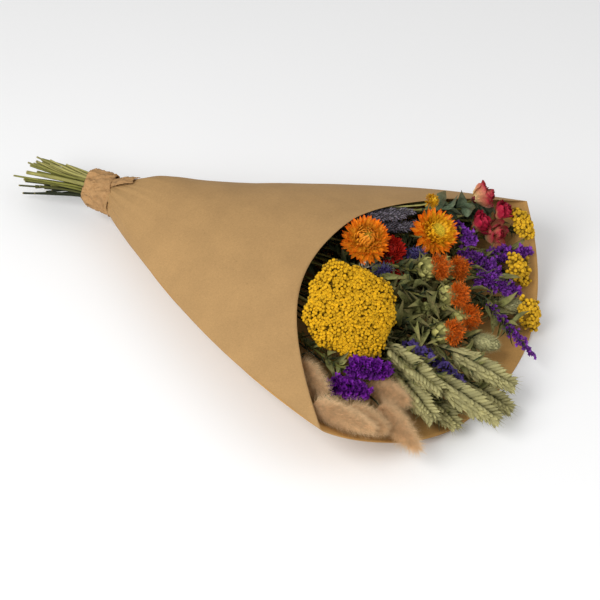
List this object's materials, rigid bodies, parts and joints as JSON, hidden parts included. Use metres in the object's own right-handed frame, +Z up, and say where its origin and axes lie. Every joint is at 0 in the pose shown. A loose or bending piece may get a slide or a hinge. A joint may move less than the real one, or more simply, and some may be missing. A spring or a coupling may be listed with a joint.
{
  "type": "dried flower bouquet in a paper sleeve",
  "caption": "Mixed bouquet of dried flowers, grasses and seed heads, tied at the stems and lying on its side in a flared kraft paper sleeve.",
  "frame": {"origin": "on the table, under the middle of the whole bouquet, on the flattened underside of the paper sleeve", "axes": "+X along the bouquet from the cut stems to the open mouth of the sleeve, +Y to its left seen from the stems, +Z up"},
  "size_m": [0.5424, 0.354, 0.1],
  "materials": {
    "kraft_paper": "matt brown kraft paper",
    "neck_paper": "matt crumpled kraft paper",
    "tie_rubber": "matt",
    "yarrow_gold": "matt, dense tiny florets",
    "strawflower_orange": "satin papery bracts",
    "strawflower_yellow": "satin papery bracts",
    "strawflower_red": "satin papery bracts",
    "lavender_grey": "matt, downy",
    "bud_cream": "matt",
    "thistle_blue": "matt",
    "rose_crimson": "matt, dried petals",
    "leaf_green": "matt dried leaf",
    "tansy_yellow": "matt",
    "statice_violet": "matt papery",
    "safflower_orange": "matt, thread-like florets",
    "safflower_leaf": "matt dried leaf",
    "phalaris_green": "matt",
    "wheat_straw": "matt straw",
    "larkspur_indigo": "matt",
    "statice_magenta": "matt papery",
    "bunny_tail_beige": "soft downy hairs"
  },
  "bodies": {
    "root": {"kraft_wrapper": "kraft_paper", "neck_paper_band": "neck_paper", "stem_tie": "tie_rubber", "yarrow_large": "yarrow_gold", "strawflower_orange_left": "strawflower_orange", "strawflower_orange_right": "strawflower_orange", "strawflower_yellow": "strawflower_yellow", "strawflower_red_left": "strawflower_red", "strawflower_red_right": "strawflower_red", "lavender_1": "lavender_grey", "lavender_2": "lavender_grey", "lavender_3": "lavender_grey", "lavender_4": "lavender_grey", "white_bud": "bud_cream", "blue_thistle_left": "thistle_blue", "blue_thistle_right": "thistle_blue", "rose_1": "rose_crimson", "rose_2": "rose_crimson", "rose_3": "rose_crimson", "rose_4": "rose_crimson", "rose_leaves_left": "leaf_green", "rose_leaves_right": "leaf_green", "tansy_1": "tansy_yellow", "tansy_2": "tansy_yellow", "tansy_3": "tansy_yellow", "statice_violet_1": "statice_violet", "statice_violet_2": "statice_violet", "statice_violet_3": "statice_violet", "statice_violet_4": "statice_violet", "statice_violet_tip": "statice_violet", "safflower_1": "safflower_orange", "safflower_2": "safflower_orange", "safflower_3": "safflower_orange", "safflower_4": "safflower_orange", "safflower_5": "safflower_orange", "safflower_leaves": "safflower_leaf", "phalaris_1": "phalaris_green", "phalaris_2": "phalaris_green", "wheat_1": "wheat_straw", "wheat_2": "wheat_straw", "wheat_3": "wheat_straw", "wheat_4": "wheat_straw", "wheat_5": "wheat_straw", "wheat_6": "wheat_straw", "larkspur_1": "larkspur_indigo", "larkspur_2": "larkspur_indigo", "statice_magenta_1": "statice_magenta", "statice_magenta_2": "statice_magenta", "bunny_tail_1": "bunny_tail_beige", "bunny_tail_2": "bunny_tail_beige", "bunny_tail_3": "bunny_tail_beige", "bunny_tail_4": "bunny_tail_beige", "bunny_tail_5": "bunny_tail_beige"}
  },
  "joints": []
}
